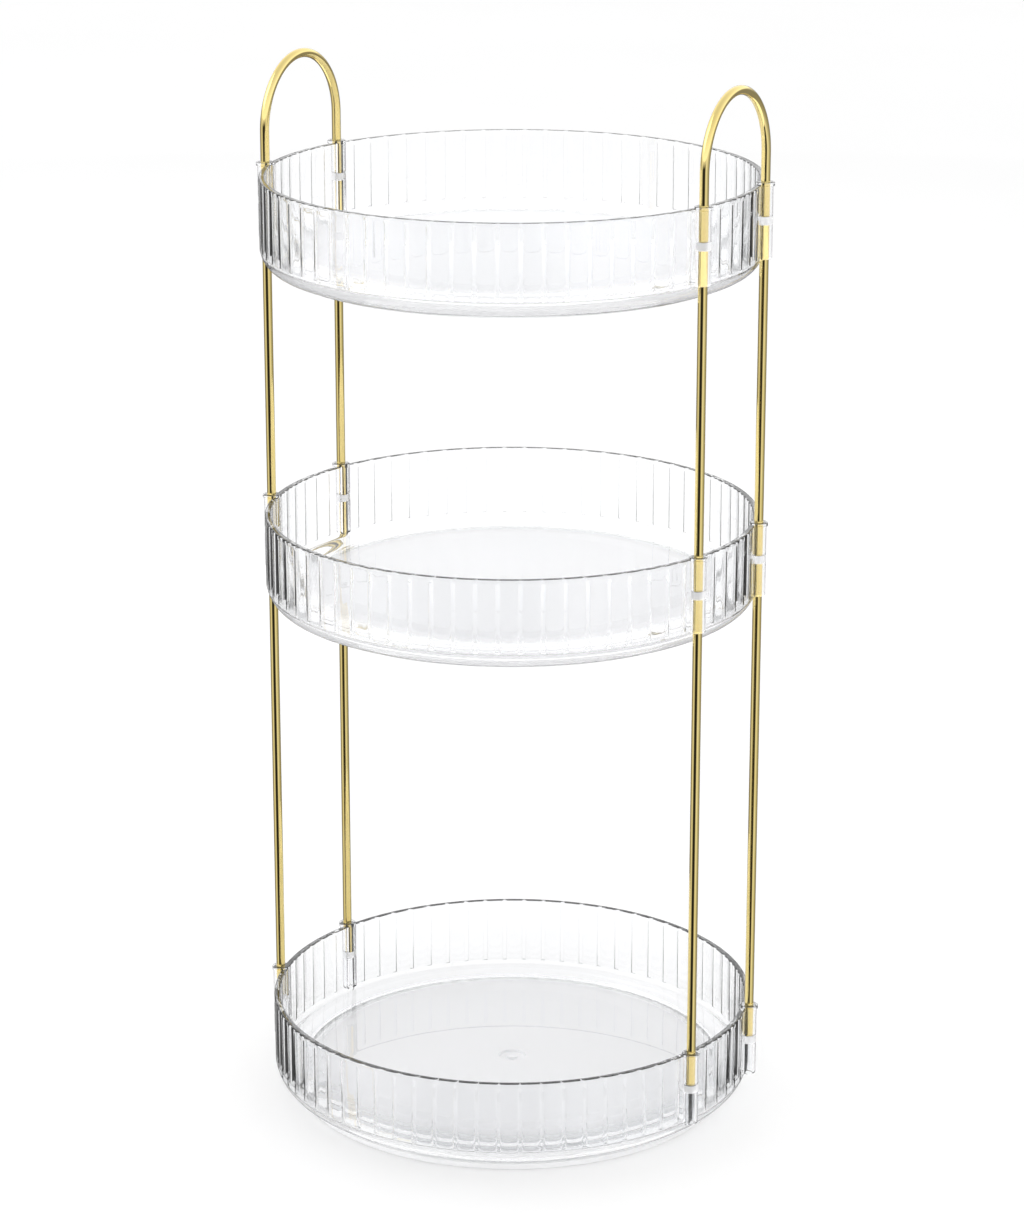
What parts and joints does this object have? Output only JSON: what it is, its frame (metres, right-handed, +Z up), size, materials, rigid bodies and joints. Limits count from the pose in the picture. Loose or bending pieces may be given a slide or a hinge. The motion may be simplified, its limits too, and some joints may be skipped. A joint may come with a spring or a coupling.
{
  "type": "rotating makeup organizer",
  "caption": "Tall tiered cosmetics stand: clear ribbed round trays on slim gold posts, hoop handles on top and a clear turntable base that spins freely.",
  "frame": {"origin": "on the table, at the turning axis", "axes": "+Z up along the turning axis, the two handles stand on the X axis"},
  "size_m": [0.2302, 0.2286, 0.4928],
  "materials": {
    "clear_plastic": "clear polished injection moulding",
    "clear_rubber": "soft translucent silicone",
    "gold_tube": "polished gold plating on steel tube"
  },
  "bodies": {
    "base": {"turntable_base": "clear_plastic", "foot_pad_1": "clear_rubber", "foot_pad_2": "clear_rubber", "foot_pad_3": "clear_rubber", "foot_pad_4": "clear_rubber"},
    "bearing": {"ball_cage": "clear_plastic", "bearing_balls": "clear_plastic"},
    "tower": {"pivot_pin": "clear_plastic", "bottom_tray": "clear_plastic", "middle_tray": "clear_plastic", "top_tray": "clear_plastic", "lower_post_1": "gold_tube", "lower_post_2": "gold_tube", "lower_post_3": "gold_tube", "lower_post_4": "gold_tube", "upper_post_1": "gold_tube", "upper_post_2": "gold_tube", "upper_post_3": "gold_tube", "upper_post_4": "gold_tube", "right_handle": "gold_tube", "left_handle": "gold_tube"}
  },
  "joints": [
    {"name": "turntable_spin", "type": "hinge", "parent": "base", "child": "tower", "pos_m": [0, 0, 0.01], "axis": [0, 0, 1], "continuous": true},
    {"name": "ball_cage_spin", "type": "hinge", "parent": "base", "child": "bearing", "pos_m": [0, 0, 0.0069], "axis": [0, 0, 1], "continuous": true}
  ],
  "couplings": [
    {"joint": "ball_cage_spin", "follows": "turntable_spin", "ratio": 0.5}
  ]
}
